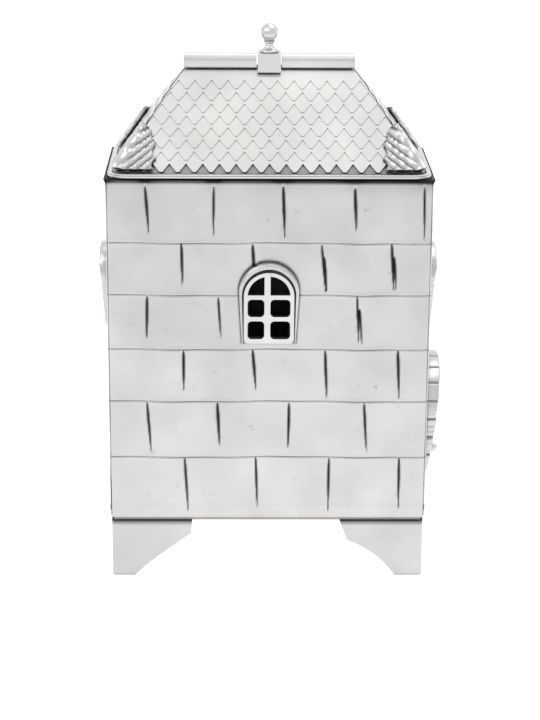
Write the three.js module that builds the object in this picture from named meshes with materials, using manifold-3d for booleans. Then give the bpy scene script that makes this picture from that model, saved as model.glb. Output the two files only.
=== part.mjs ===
// Tabernacle box: a small silver house. Four chased wall panels stand on a base plate with four
// bracket feet. The front and both ends have an arched window with a hood and a cast grille. The
// right-hand end also has a hinged door under a bigger hood, and the steep hipped roof is a lid
// hinged at the back.
// Millimetres, +Z up. The origin is under the middle of the whole object, where the feet stand.
import * as THREE from "three";
import { ConvexGeometry } from "three/addons/geometries/ConvexGeometry.js";
import { mergeVertices } from "three/addons/utils/BufferGeometryUtils.js";
import Module from "manifold-3d";

const wasm = await Module();
wasm.setup();

// ---- Driving dimensions ----
const GAP = 0.1; // between flat faces that are soldered together
const CLEARANCE = 0.3; // between curved, sloping or moving faces
const BEYOND = 2; // how far a cutting tool runs past what it cuts

const WIDTH = 100; // outside, over the left and right walls
const DEPTH = 50; // outside, over the front and back walls
const WALL_HEIGHT = 109.5;
const SHEET = 1.2; // the walls' and base plate's silver sheet

const FOOT_HEIGHT = 18.8;
const BASE_INSET = 1.2;
const WALL_FOOT_Z = FOOT_HEIGHT + SHEET;
const WALL_TOP_Z = WALL_FOOT_Z + WALL_HEIGHT;

const WINDOW = {
  bottom: 58.35, // above the walls' lower edge
  halfWidth: 7.75, // of the grille
  rise: 23.2, // grille, sill to crown
  hoodHalfWidth: 9.4,
  hoodFootHalfWidth: 8.4,
  hoodRise: 26,
  hoodDepth: 3.3,
  hoodFootDepth: 0.6,
  openingHalfWidth: 6.3,
  openingInset: 1.6, // of the hole in the wall, inside the grille's sill and crown
};
// Six courses of bricks, chased into the walls: the lines are above the walls' lower edge. The
// bricks are broken over one another, and their length is let out a little on each course down.
const BRICKS = {
  lines: [20.5, 39, 56, 73.5, 90],
  length: 21.2, // in the top course
  letOut: 0.33,
  starts: [-38, -26.8], // a stroke in the top course and in the one below it, and so on down
  endShift: 4.5, // of the strokes on the two end walls
  lineWidth: 0.35,
  strokeWidth: 1,
  depth: 0.3,
  headGap: 1.6, // left between a stroke and the course lines above and below it
  footGap: 1.8,
  lowestFoot: 2, // the bottom course starts this far above the walls' lower edge
};
const GRILLE = {
  thickness: 1.2,
  lean: THREE.MathUtils.degToRad(4.5), // the top stands out from the wall
  stile: 1.15,
  rail: 1.5,
  mullion: 1.85,
  transom: 1.4,
  transomHeights: [8.1, 15.2], // centre lines above the sill
  mullionAt: -0.5, // off the middle, as it was cut by hand
  corner: 1.3, // of each pane
  sillCorner: 1.5, // of the grille's own foot
};

const DOOR = {
  sill: 2.4, // the doorway's threshold above the walls' lower edge
  openingHalfWidth: 8.8,
  leafHalfWidth: 10,
  leafThickness: 1.2,
  spring: 31, // where the arches begin, above the walls' lower edge
  hoodHalfWidth: 16.6,
  hoodThickness: 1.8,
  hoodDepth: 5.4,
  hoodFootDepth: 0.6,
  hoodFoot: 12.3, // the hood's lower end, above the walls' lower edge
  courses: 15, // stones round the hood
  jointWidth: 0.5,
  jointDepth: 0.5,
};
const DOOR_HINGE = {
  radius: 1.1,
  pin: 0.55,
  height: 7.5,
  jambWing: 1.6, // width of the wing on the wall
  leafWing: 2.8, // and of the wing on the door
  wingThickness: 0.7,
  heights: [8.5, 21.5], // the hinges' middles
};
// The tongue is its length below the shank, half its width and its thickness.
const LATCH = { reach: -5.8, height: 17, shank: 1.0, ball: 1.5, tongue: [6.6, 1.9, 1.0] };
const KNOB = { collarRadius: 1.9, collarHeight: 0.6, neckRadius: 0.9, neckTop: 1, inside: 2 };

const FOOT = { sheet: 1.7, corner: 1.4, inset: 0.4 };
// Each foot's arm runs from the corner along the top to its tip, and down a curve to the toe.
const FOOT_CUTS = {
  straight: { reach: 25.6, tip: [25.2, 4.3], bend: [11.5, 14.0], toe: 7.2 },
  curved: { reach: 26.6, tip: [24.2, 6.6], bend: [15.0, 9.8], toe: 8.6 },
  side: { reach: 19.6, tip: [19.2, 4.3], bend: [9.5, 11], toe: 6.4 },
};

const LEDGE = { width: 4, height: 2, proud: 0.45 }; // the ledge inside the walls' top
const RIM = { inset: 0.5, corner: 6, plate: 0.6, band: 0.45, step: 0.2 };
const ROOF = { inset: 3.1, rise: 30, sheet: 1 };
const SHINGLE = { pitch: 5.08, rows: 8, exposure: 4, tip: 2.9, blunt: 0.08, thickness: 0.8 };
const BEZEL = { drop: 5, play: 0.6, thickness: 1 }; // the ring that steadies the lid in its mouth
const RIDGE_TILE = { radius: 2.7, lift: 0.9, overhang: 1.5 };
const FINIAL = {
  stem: 1.1,
  plinth: 3.6, // half the block's width
  plinthHeight: 3.8,
  ball: 2.9,
  neck: 1.5,
  stemDrop: 9, // below the ridge
};
const NUT = { radius: 2.4, height: 1.6, drop: 6 };
const LEAF = { halfWidth: 8.2, height: 11, thickness: 0.9, lobeWidth: 2.6, lobeHeight: 4.6 };
const LID_HINGE = { radius: 1.6, pin: 0.85, length: 36, knuckles: 5, leaf: 0.8, drop: 8.5, strap: 2.2 };

// The door hood stands out further than the window hood opposite, so the walls sit off-centre.
const BODY_X = -(DOOR.hoodDepth - WINDOW.hoodDepth) / 2;

// ---- Materials ----
const silver = (color, roughness) =>
  new THREE.MeshStandardMaterial({ color, roughness, metalness: 1 });
const POLISHED = silver(0xdcdad6, 0.2);
const CAST = silver(0xe4e2de, 0.28);
const ROOFING = silver(0xd9d8d5, 0.25);
const PLAIN = silver(0xc9c7c3, 0.35);

// ---- Solids ----
// A closed three.js geometry as a manifold-3d solid.
function solid(geometry) {
  const bare = geometry.index ? geometry.toNonIndexed() : geometry.clone();
  bare.deleteAttribute("normal");
  bare.deleteAttribute("uv");
  const merged = mergeVertices(bare, 1e-4);
  return new wasm.Manifold(
    new wasm.Mesh({
      numProp: 3,
      vertProperties: merged.attributes.position.array,
      triVerts: new Uint32Array(merged.index.array),
    }),
  );
}

// A manifold-3d solid as a three.js geometry.
function geometryOf(made) {
  const mesh = made.getMesh();
  const geometry = new THREE.BufferGeometry();
  geometry.setAttribute("position", new THREE.BufferAttribute(mesh.vertProperties, 3));
  geometry.setIndex(new THREE.BufferAttribute(mesh.triVerts, 1));
  return geometry;
}

const extrude = (shape, depth, curveSegments = 8) =>
  new THREE.ExtrudeGeometry(shape, { depth, curveSegments, bevelEnabled: false });

// A box between two corners.
function block(low, high) {
  const size = high.map((v, i) => v - low[i]);
  return new THREE.BoxGeometry(...size).translate(...low.map((v, i) => v + size[i] / 2));
}

function piece(name, made, material) {
  const geometry = made.isBufferGeometry ? made : geometryOf(made);
  const mesh = new THREE.Mesh(geometry, material);
  mesh.name = name;
  return mesh;
}

// A rectangle centred on the origin, with rounded corners.
function roundedRectangle(path, halfX, halfY, r) {
  path.moveTo(halfX, 0);
  path.absarc(halfX - r, halfY - r, r, 0, Math.PI / 2, false);
  path.absarc(-halfX + r, halfY - r, r, Math.PI / 2, Math.PI, false);
  path.absarc(-halfX + r, -halfY + r, r, Math.PI, 1.5 * Math.PI, false);
  path.absarc(halfX - r, -halfY + r, r, 1.5 * Math.PI, 2 * Math.PI, false);
  path.closePath();
  return path;
}

// A flat ring lying in the XY plane from z up to z + thickness.
function ring(outer, inner, z, thickness, curveSegments = 5) {
  const shape = roundedRectangle(new THREE.Shape(), ...outer);
  shape.holes.push(roundedRectangle(new THREE.Path(), ...inner));
  return extrude(shape, thickness, curveSegments).translate(0, 0, z);
}

// A round-headed outline: a foot as wide as footHalfWidth, sides up to the spring, half a circle.
function arch(halfWidth, bottom, spring, footHalfWidth = halfWidth) {
  const shape = new THREE.Shape();
  shape.moveTo(-footHalfWidth, bottom);
  shape.lineTo(footHalfWidth, bottom);
  shape.lineTo(halfWidth, spring);
  shape.absarc(0, spring, halfWidth, 0, Math.PI, false);
  shape.closePath();
  return shape;
}

// ---- Walls ----
// Everything on a wall is made in that wall's own frame: x to the right as seen from outside,
// y up from the wall's lower edge, z outwards from its face.
function wallFrame(turn, distance, offsetX) {
  const upright = new THREE.Group();
  upright.rotation.x = Math.PI / 2;
  upright.position.set(0, -distance, WALL_FOOT_Z);
  const side = new THREE.Group();
  side.rotation.z = turn;
  side.position.x = offsetX;
  side.add(upright);
  return [side, upright];
}

// A sheet with mitred ends, so that four of them close into a box.
function panel(length) {
  const half = length / 2 - GAP;
  const plan = new THREE.Shape();
  plan.moveTo(-half, 0);
  plan.lineTo(half, 0);
  plan.lineTo(half - SHEET, SHEET);
  plan.lineTo(-half + SHEET, SHEET);
  plan.closePath();
  return solid(extrude(plan, WALL_HEIGHT).rotateX(-Math.PI / 2));
}

// The chased brickwork: a groove under each course and tapered strokes between its bricks.
function brickwork(wallLength, shift, blockedAt) {
  const { lines, starts, lineWidth, strokeWidth, depth, headGap, footGap } = BRICKS;
  const half = wallLength / 2 - 2 * SHEET;
  const cuts = lines.map((y) =>
    block([-half, y - lineWidth / 2, -depth], [half, y + lineWidth / 2, BEYOND]),
  );
  for (let down = 0; down <= lines.length; down++) {
    const row = lines.length - down;
    const low = row === 0 ? BRICKS.lowestFoot : lines[row - 1];
    const high = down === 0 ? WALL_HEIGHT - 1 : lines[row];
    const pitch = BRICKS.length + BRICKS.letOut * down;
    for (let x = starts[down % 2] + shift - pitch; x < half - 1; x += pitch) {
      if (x < -half + 1 || blockedAt(x, low, high)) continue;
      const stroke = new THREE.Shape();
      stroke.moveTo(x - strokeWidth / 2, high - headGap);
      stroke.lineTo(x, low + footGap);
      stroke.lineTo(x + strokeWidth / 2, high - headGap);
      stroke.closePath();
      cuts.push(extrude(stroke, depth + BEYOND).translate(0, 0, -depth));
    }
  }
  return wasm.Manifold.union(cuts.map(solid));
}

const underWindow = (x, low, high) =>
  Math.abs(x) < WINDOW.hoodHalfWidth + 1 &&
  high > WINDOW.bottom &&
  low < WINDOW.bottom + WINDOW.hoodRise;
const underDoorHood = (x, low) =>
  Math.abs(x) < DOOR.hoodHalfWidth + 1 && low < DOOR.spring + DOOR.hoodHalfWidth;

const through = (shape) => solid(extrude(shape, SHEET + 2 * BEYOND).translate(0, 0, -SHEET - BEYOND));

function windowOpening() {
  const { bottom, rise, openingHalfWidth, openingInset } = WINDOW;
  const crown = bottom + rise - openingInset;
  return through(arch(openingHalfWidth, bottom + openingInset, crown - openingHalfWidth));
}

function doorway() {
  return through(arch(DOOR.openingHalfWidth, DOOR.sill, DOOR.spring));
}

// ---- Hoods ----
// An arched band. Its depth grows with the height by the given law, which takes 0 at the foot and 1
// at the crown, and falls off a little at the crown.
function hood({ outer, inner, bottom, crown, footDepth, depth, growth }) {
  const band = solid(extrude(outer, depth + BEYOND, 14)).subtract(
    solid(extrude(inner, depth + 3 * BEYOND, 14).translate(0, 0, -BEYOND)),
  );
  const STEPS = 10;
  const side = new THREE.Shape();
  side.moveTo(GAP, bottom - BEYOND);
  for (let i = 0; i <= STEPS; i++) {
    const t = i / STEPS;
    const swell = growth(t) - 5 * Math.max(t - 0.9, 0) ** 2;
    const reach = footDepth + (depth - footDepth) * swell;
    side.lineTo(reach, bottom + t * (crown - bottom));
  }
  side.lineTo(GAP, crown);
  side.closePath();
  const profile = extrude(side, WIDTH).rotateY(-Math.PI / 2).translate(WIDTH / 2, 0, 0);
  return band.intersect(solid(profile));
}

function windowHood() {
  const { bottom, hoodRise, hoodHalfWidth, hoodFootHalfWidth, halfWidth, rise } = WINDOW;
  const crown = bottom + hoodRise;
  const innerHalf = halfWidth + CLEARANCE;
  return hood({
    outer: arch(hoodHalfWidth, bottom, crown - hoodHalfWidth, hoodFootHalfWidth),
    inner: arch(innerHalf, bottom - BEYOND, bottom + rise - halfWidth + CLEARANCE / 2),
    bottom,
    crown,
    footDepth: WINDOW.hoodFootDepth,
    depth: WINDOW.hoodDepth,
    growth: (t) => Math.min(t / 0.8, 1),
  });
}

// The door's hood has a joint cut between each two of its stones.
function doorHood() {
  const { hoodHalfWidth, hoodThickness, hoodFoot, spring, courses, jointWidth, jointDepth } = DOOR;
  const leg = spring - hoodFoot;
  const innerHalf = hoodHalfWidth - hoodThickness;
  let made = hood({
    outer: arch(hoodHalfWidth, hoodFoot, spring),
    inner: arch(innerHalf, hoodFoot - BEYOND, spring),
    bottom: hoodFoot,
    crown: spring + hoodHalfWidth,
    footDepth: DOOR.hoodFootDepth,
    depth: DOOR.hoodDepth,
    growth: (t) => t ** 0.6,
  });
  const reach = DOOR.hoodDepth + BEYOND;
  const quarter = (Math.PI / 2) * hoodHalfWidth;
  const pitch = (2 * (leg + quarter)) / courses;
  for (const side of [-1, 1])
    for (let along = pitch; along < leg + quarter; along += pitch) {
      const round = Math.max(0, along - leg) / hoodHalfWidth;
      const cut = block(
        [hoodHalfWidth - jointDepth, -jointWidth / 2, -BEYOND],
        [hoodHalfWidth + BEYOND, jointWidth / 2, reach],
      )
        .rotateZ(round)
        .translate(0, hoodFoot + Math.min(along, leg), 0);
      if (side < 0) cut.rotateY(Math.PI).translate(0, 0, reach - BEYOND);
      made = made.subtract(solid(cut));
    }
  return made;
}

// ---- Window grille: an arched frame with one mullion, two transoms and six panes ----
function grille() {
  const { halfWidth, rise } = WINDOW;
  const { stile, rail, mullion, mullionAt, transom, transomHeights, thickness, corner } = GRILLE;
  const { sillCorner } = GRILLE;
  const spring = rise - halfWidth;
  const outline = new THREE.Shape();
  outline.moveTo(-halfWidth + sillCorner, 0);
  outline.lineTo(halfWidth - sillCorner, 0);
  outline.absarc(halfWidth - sillCorner, sillCorner, sillCorner, 1.5 * Math.PI, 2 * Math.PI, false);
  outline.absarc(0, spring, halfWidth, 0, Math.PI, false);
  outline.absarc(-halfWidth + sillCorner, sillCorner, sillCorner, Math.PI, 1.5 * Math.PI, false);
  const right = halfWidth - stile;
  const edges = [rail, ...transomHeights.flatMap((h) => [h - transom / 2, h + transom / 2])];
  const panes = [];
  for (const side of [-1, 1]) {
    const left = mullion / 2 + side * mullionAt;
    for (let row = 0; row < 2; row++) {
      const [low, high] = [edges[2 * row], edges[2 * row + 1]];
      const pane = roundedRectangle(new THREE.Shape(), (right - left) / 2, (high - low) / 2, corner);
      panes.push(
        extrude(pane, 3 * thickness, 3).translate(
          (side * (left + right)) / 2,
          (low + high) / 2,
          -thickness,
        ),
      );
    }
    const top = new THREE.Shape();
    top.moveTo(left, edges[4]);
    const start = Math.asin(Math.max(0, edges[4] - spring) / right);
    top.lineTo(right * Math.cos(start), edges[4]);
    top.absarc(0, spring, right, start, Math.acos(left / right), false);
    top.closePath();
    const pane = extrude(top, 3 * thickness, 6).translate(0, 0, -thickness);
    panes.push(side > 0 ? pane : pane.rotateY(Math.PI).translate(0, 0, thickness));
  }
  return solid(extrude(outline, thickness, 12)).subtract(wasm.Manifold.union(panes.map(solid)));
}

// The grille leans out with its hood, its foot just clear of the wall.
function hangGrille(name) {
  const mesh = piece(name, grille(), CAST);
  mesh.position.set(0, WINDOW.bottom + GAP, CLEARANCE);
  mesh.rotation.x = GRILLE.lean;
  return mesh;
}

// ---- Door ----
// The hinges are on the right-hand jamb, seen from outside.
const DOOR_AXIS = {
  x: DOOR.leafHalfWidth + DOOR_HINGE.radius + CLEARANCE,
  z: DOOR.leafThickness + GAP,
};
const LATCH_AT = [LATCH.reach, LATCH.height];

function doorLeaf() {
  const { leafHalfWidth, leafThickness, sill, spring } = DOOR;
  const leaf = solid(
    extrude(arch(leafHalfWidth, sill - 1, spring), leafThickness, 14).translate(0, 0, GAP),
  );
  const bore = new THREE.CylinderGeometry(LATCH.shank + CLEARANCE, LATCH.shank + CLEARANCE, 8, 20);
  return leaf.subtract(solid(bore.rotateX(Math.PI / 2).translate(...LATCH_AT, 0)));
}

const barrel = (radius, low, high, sides = 20) =>
  new THREE.CylinderGeometry(radius, radius, high - low, sides).translate(
    DOOR_AXIS.x,
    (low + high) / 2,
    DOOR_AXIS.z,
  );

// Half of a small butt hinge: knuckles on the axis, joined to a wing that lies on one side.
function doorHingeHalf(middle, side) {
  const onJamb = side > 0;
  const { radius, pin, height, wingThickness } = DOOR_HINGE;
  const wing = onJamb ? DOOR_HINGE.jambWing : DOOR_HINGE.leafWing;
  const third = height / 3;
  const low = middle - height / 2;
  const inner = onJamb ? 0 : DOOR.leafThickness + GAP;
  const faceZ = GAP + inner;
  const spans = onJamb ? [[0, 1], [2, 3]] : [[1, 2]];
  const gap = CLEARANCE / 2;
  const overlap = radius / 2; // how far each tab runs into its knuckle
  let made = null;
  for (const [from, to] of spans) {
    const ends = [low + from * third + (from ? gap : 0), low + to * third - (to < 3 ? gap : 0)];
    const knuckle = solid(barrel(radius, ...ends));
    const reach = DOOR_AXIS.x + side * (radius + wing);
    const tab = solid(
      block(
        [Math.min(DOOR_AXIS.x + side * overlap, reach), ends[0], faceZ],
        [Math.max(DOOR_AXIS.x + side * overlap, reach), ends[1], faceZ + wingThickness],
      ),
    );
    const grown = knuckle.add(tab);
    made = made ? made.add(grown) : grown;
  }
  const outerEdge = DOOR_AXIS.x + side * (radius + wing);
  const innerEdge = DOOR_AXIS.x + side * (radius + CLEARANCE);
  const wingPlate = block(
    [Math.min(outerEdge, innerEdge), low, faceZ],
    [Math.max(outerEdge, innerEdge), low + height, faceZ + wingThickness],
  );
  made = made.add(solid(wingPlate));
  return made.subtract(solid(barrel(pin + GAP, low - BEYOND, low + height + BEYOND)));
}

function doorHingePin(middle) {
  const { pin, height, radius } = DOOR_HINGE;
  const low = middle - height / 2;
  const headFoot = low + height + CLEARANCE / 2;
  const head = barrel(radius, headFoot, headFoot + 0.7);
  return solid(barrel(pin, low, headFoot + CLEARANCE, 14)).add(solid(head));
}

// Turned knob: a ball on a collar, with the shank that carries the tongue inside the door.
function knob() {
  const { shank, ball } = LATCH;
  const { collarRadius, collarHeight, neckRadius, neckTop } = KNOB;
  const face = GAP + DOOR.leafThickness + CLEARANCE / 2;
  const inside = -SHEET - KNOB.inside;
  const profile = new THREE.Path();
  profile.moveTo(0, inside);
  profile.lineTo(shank, inside);
  profile.lineTo(shank, face);
  profile.lineTo(collarRadius, face);
  profile.lineTo(collarRadius, face + collarHeight);
  profile.lineTo(neckRadius, face + neckTop);
  const start = -Math.acos(neckRadius / ball);
  const centre = face + neckTop + 0.1 - ball * Math.sin(start);
  profile.absarc(0, centre, ball, start, Math.PI / 2, false);
  const points = profile.getPoints(5).map((p) => new THREE.Vector2(Math.max(p.x, 0), p.y));
  points[0].x = 0;
  points[points.length - 1].x = 0;
  return new THREE.LatheGeometry(points, 20).rotateX(Math.PI / 2).translate(...LATCH_AT, 0);
}

// The tongue hangs from the shank while the door is free, and turns up behind the jamb to latch.
function latchTongue() {
  const [length, width, thickness] = LATCH.tongue;
  const [x, y] = LATCH_AT;
  const back = -SHEET - 0.5 - thickness;
  const bar = solid(
    block([x - width, y - length, back], [x + width, y + width, back + thickness]),
  );
  const bore = new THREE.CylinderGeometry(LATCH.shank + GAP, LATCH.shank + GAP, 8, 24);
  return bar.subtract(solid(bore.rotateX(Math.PI / 2).translate(x, y, back)));
}

// ---- Feet: two arms at a right angle, each cut to a bracket ----
function footArm(cut, top) {
  const { reach, tip, bend, toe } = FOOT_CUTS[cut];
  const arm = new THREE.Shape();
  arm.moveTo(0, 0);
  arm.lineTo(toe, 0);
  arm.quadraticCurveTo(bend[0], top - bend[1], tip[0], top - tip[1]);
  arm.lineTo(reach, top);
  arm.lineTo(0, top);
  arm.closePath();
  return extrude(arm, FOOT.sheet, 8).rotateX(Math.PI / 2);
}

function foot(cutX, cutY) {
  const top = FOOT_HEIGHT - GAP;
  const alongX = footArm(cutX, top).translate(0, FOOT.sheet, 0);
  const alongY = footArm(cutY, top).rotateZ(Math.PI / 2);
  const reach = FOOT_CUTS.curved.reach;
  const plan = new THREE.Shape();
  plan.moveTo(FOOT.corner, 0);
  plan.lineTo(reach + BEYOND, 0);
  plan.lineTo(reach + BEYOND, reach + BEYOND);
  plan.lineTo(0, reach + BEYOND);
  plan.lineTo(0, FOOT.corner);
  plan.absarc(FOOT.corner, FOOT.corner, FOOT.corner, Math.PI, 1.5 * Math.PI, false);
  plan.closePath();
  return solid(alongX)
    .add(solid(alongY))
    .intersect(solid(extrude(plan, top + BEYOND, 4)));
}

// ---- Lid ----
const LID_Z = WALL_TOP_Z + LEDGE.proud + GAP; // the rim's underside
const ROOF_Z = LID_Z + RIM.plate + GAP;
const EAVE = [WIDTH / 2 - ROOF.inset, DEPTH / 2 - ROOF.inset];
const SLOPE = Math.atan2(ROOF.rise, EAVE[1]);
const RIDGE_HALF = EAVE[0] - EAVE[1];
const RIDGE_Z = ROOF_Z + ROOF.rise;

const corners = ([x, y], z) =>
  [[1, 1], [-1, 1], [-1, -1], [1, -1]].map(([a, b]) => new THREE.Vector3(a * x, b * y, z));

// The hipped roof as a solid, grown outwards square to its slopes and stretched down by extra.
function roofSolid(growth, extra = 0) {
  const run = extra / Math.tan(SLOPE) + growth / Math.sin(SLOPE);
  return solid(
    new ConvexGeometry([
      ...corners(EAVE.map((v) => v + run), ROOF_Z - extra),
      new THREE.Vector3(-RIDGE_HALF, 0, RIDGE_Z + growth / Math.cos(SLOPE)),
      new THREE.Vector3(RIDGE_HALF, 0, RIDGE_Z + growth / Math.cos(SLOPE)),
    ]),
  );
}

// What stands over one slope in plan: the hips and the ridge bound it, less a little to part them.
function sector(side, part) {
  const [x, y] = EAVE.map((v) => v + 4);
  const plan = new THREE.Shape();
  const out = { front: [0, -1], back: [0, 1], right: [1, 0], left: [-1, 0] }[side];
  if (out[0] === 0) {
    plan.moveTo(-x, out[1] * y);
    plan.lineTo(x, out[1] * y);
    plan.lineTo(RIDGE_HALF, 0);
    plan.lineTo(-RIDGE_HALF, 0);
  } else {
    plan.moveTo(out[0] * x, -y);
    plan.lineTo(out[0] * x, y);
    plan.lineTo(out[0] * RIDGE_HALF, 0);
  }
  plan.closePath();
  const shift = out.map((v) => v * part);
  return solid(extrude(plan, 3 * ROOF.rise).translate(...shift, ROOF_Z - ROOF.rise));
}

function roofPanel(side) {
  return roofSolid(0)
    .subtract(roofSolid(-ROOF.sheet, BEYOND))
    .intersect(sector(side, GAP))
    .subtract(uprightBore(FINIAL.stem + CLEARANCE));
}

// From one slope's own frame (x along the eave, y up the slope, z out of it) to the box's.
function slopeMatrix(side) {
  const turn = { front: 0, right: Math.PI / 2, back: Math.PI, left: -Math.PI / 2 }[side];
  const distance = side === "front" || side === "back" ? EAVE[1] : EAVE[0];
  return new THREE.Matrix4()
    .makeRotationZ(turn)
    .multiply(new THREE.Matrix4().makeTranslation(0, -distance, ROOF_Z))
    .multiply(new THREE.Matrix4().makeRotationX(SLOPE));
}

// Overlapping rows of pointed shingles over one slope. Each row is thickest at its tips.
function shingles(side) {
  const { pitch, tip, blunt, thickness, exposure, rows } = SHINGLE;
  const long = side === "front" || side === "back";
  const made = [];
  for (let row = 0; row < rows; row++) {
    const foot = 0.4 + row * exposure;
    const top = foot + exposure + tip;
    const reach = (long ? EAVE[0] : EAVE[1]) + 2 - foot * Math.cos(SLOPE);
    const phase = row % 2 === 0 ? 0 : 0.5;
    const count = Math.ceil(reach / pitch - phase);
    const outline = new THREE.Shape();
    const first = -(count + phase) * pitch;
    outline.moveTo(-first, top);
    outline.lineTo(first, top);
    for (let i = 0; i < 2 * (count + phase); i++) {
      outline.lineTo(first + i * pitch, foot + tip);
      outline.lineTo(first + (i + 0.5 - blunt) * pitch, foot);
      outline.lineTo(first + (i + 0.5 + blunt) * pitch, foot);
    }
    outline.lineTo(-first, foot + tip);
    outline.closePath();
    const wedge = new THREE.Shape();
    wedge.moveTo(GAP, foot - BEYOND);
    wedge.lineTo(thickness + GAP, foot - BEYOND);
    wedge.lineTo(thickness + GAP, foot);
    wedge.lineTo(thickness * 0.4 + GAP, top);
    wedge.lineTo(GAP, top);
    wedge.closePath();
    const span = 2 * WIDTH;
    const profile = extrude(wedge, span).rotateY(-Math.PI / 2).translate(span / 2, 0, 0);
    made.push(solid(extrude(outline, 3)).intersect(solid(profile)));
  }
  const laid = geometryOf(wasm.Manifold.union(made)).applyMatrix4(slopeMatrix(side));
  return solid(laid)
    .intersect(sector(side, CLEARANCE))
    .subtract(uprightBore(FINIAL.stem + CLEARANCE));
}

const COVER = GAP + SHINGLE.thickness; // of the shingles over the roof panels

const uprightBore = (radius) =>
  solid(new THREE.CylinderGeometry(radius, radius, 30, 20).rotateX(Math.PI / 2).translate(0, 0, RIDGE_Z));

// A round ridge tile on each side of the finial's plinth, hollowed to sit over the ridge.
function ridgeTile(side) {
  const { radius, lift, overhang } = RIDGE_TILE;
  const ends = [FINIAL.plinth + CLEARANCE, RIDGE_HALF + overhang];
  const bar = new THREE.CylinderGeometry(radius, radius, ends[1] - ends[0], 18)
    .rotateZ(Math.PI / 2)
    .translate((side * (ends[0] + ends[1])) / 2, 0, RIDGE_Z + lift);
  return solid(bar).subtract(roofSolid(COVER + CLEARANCE, BEYOND));
}

function finialPlinth() {
  const { plinth, plinthHeight, stem } = FINIAL;
  return solid(
    block([-plinth, -plinth, RIDGE_Z - 2], [plinth, plinth, RIDGE_Z + plinthHeight]),
  )
    .subtract(roofSolid(COVER + CLEARANCE, BEYOND))
    .subtract(uprightBore(stem + CLEARANCE));
}

// A turned baluster with a ball, and the stem that runs down through the roof to its nut.
function finial() {
  const { stem, plinthHeight, ball, neck, stemDrop } = FINIAL;
  const foot = RIDGE_Z + plinthHeight + GAP;
  const stemFoot = RIDGE_Z - stemDrop;
  const profile = new THREE.Path();
  profile.moveTo(0, stemFoot);
  profile.lineTo(stem, stemFoot);
  profile.lineTo(stem, foot);
  profile.lineTo(2.9, foot);
  profile.quadraticCurveTo(3.1, foot + 0.6, 2.3, foot + 0.9);
  profile.quadraticCurveTo(1.1, foot + 1.6, 1.3, foot + 2.6);
  profile.quadraticCurveTo(2.4, foot + 3.0, neck, foot + 3.5);
  const start = -Math.acos(neck / ball);
  profile.absarc(0, foot + 3.5 - ball * Math.sin(start), ball, start, Math.PI / 2, false);
  const points = profile.getPoints(4).map((p) => new THREE.Vector2(Math.max(p.x, 0), p.y));
  points[0].x = 0;
  points[points.length - 1].x = 0;
  return new THREE.LatheGeometry(points, 20).rotateX(Math.PI / 2);
}

function finialNut() {
  const { radius, height, drop } = NUT;
  const nut = new THREE.CylinderGeometry(radius, radius, height, 6).rotateX(Math.PI / 2);
  return solid(nut.translate(0, 0, RIDGE_Z - drop - height / 2)).subtract(uprightBore(FINIAL.stem + GAP));
}

// A pointed leaf folded over the foot of one hip.
function cornerLeaf(signX, signY) {
  const { halfWidth, height, thickness, lobeWidth, lobeHeight } = LEAF;
  const outline = new THREE.Shape();
  outline.moveTo(-halfWidth, 0);
  outline.lineTo(halfWidth, 0);
  outline.quadraticCurveTo(halfWidth, lobeHeight - 0.4, lobeWidth, lobeHeight);
  outline.quadraticCurveTo(lobeWidth - 1, height - 1, 0, height);
  outline.quadraticCurveTo(1 - lobeWidth, height - 1, -lobeWidth, lobeHeight);
  outline.quadraticCurveTo(-halfWidth, lobeHeight - 0.4, -halfWidth, 0);
  const bearing = Math.atan2(signY, signX);
  const prism = extrude(outline, 30, 5)
    .translate(0, 0, -18)
    .rotateX(Math.PI / 2)
    .rotateZ(bearing + Math.PI / 2)
    .translate(signX * EAVE[0], signY * EAVE[1], ROOF_Z + RIM.band + CLEARANCE);
  return roofSolid(COVER + CLEARANCE + thickness)
    .subtract(roofSolid(COVER + CLEARANCE, BEYOND))
    .intersect(solid(prism));
}

// ---- Lid hinge: five knuckles along the back, three on the wall and two on the lid ----
const LID_AXIS = { y: DEPTH / 2 + LID_HINGE.radius + 0.1, z: LID_Z + CLEARANCE };

const lidBarrel = (radius, from, to, sides = 24) =>
  new THREE.CylinderGeometry(radius, radius, to - from, sides)
    .rotateZ(Math.PI / 2)
    .translate((from + to) / 2, LID_AXIS.y, LID_AXIS.z);

function knuckleSpan(index) {
  const pitch = LID_HINGE.length / LID_HINGE.knuckles;
  const from = -LID_HINGE.length / 2 + index * pitch;
  return [from + CLEARANCE / 2, from + pitch - CLEARANCE / 2];
}

const lidPinBore = () =>
  solid(lidBarrel(LID_HINGE.pin + GAP, -LID_HINGE.length, LID_HINGE.length, 20));

// The fixed half: a plate on the back wall that reaches up behind its three knuckles.
function lidHingeWallLeaf() {
  const { length, leaf, drop, radius } = LID_HINGE;
  const face = DEPTH / 2 + GAP;
  const plateTop = LID_AXIS.z - radius - 0.5;
  let made = solid(block([-length / 2, face, plateTop - drop], [length / 2, face + leaf, plateTop]));
  for (const index of [0, 2, 4]) {
    const [from, to] = knuckleSpan(index);
    made = made
      .add(solid(lidBarrel(radius, from, to)))
      .add(solid(block([from, face, plateTop - 1], [to, face + leaf, LID_AXIS.z - radius * 0.3])));
  }
  return made.subtract(lidPinBore());
}

// The moving half: a plate on the rim, with a strap out to each of its two knuckles.
function lidHingeLidLeaf() {
  const { length, leaf, strap, radius } = LID_HINGE;
  const low = LID_Z + RIM.plate + GAP;
  const edge = DEPTH / 2 - 0.4;
  const front = edge - strap;
  let made = solid(block([-length / 2, front, low], [length / 2, edge, low + leaf]));
  for (const index of [1, 3]) {
    const [from, to] = knuckleSpan(index);
    made = made
      .add(solid(lidBarrel(radius, from, to)))
      .add(solid(block([from, front, low], [to, LID_AXIS.y, low + leaf])));
  }
  return made.subtract(lidPinBore());
}

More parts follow.
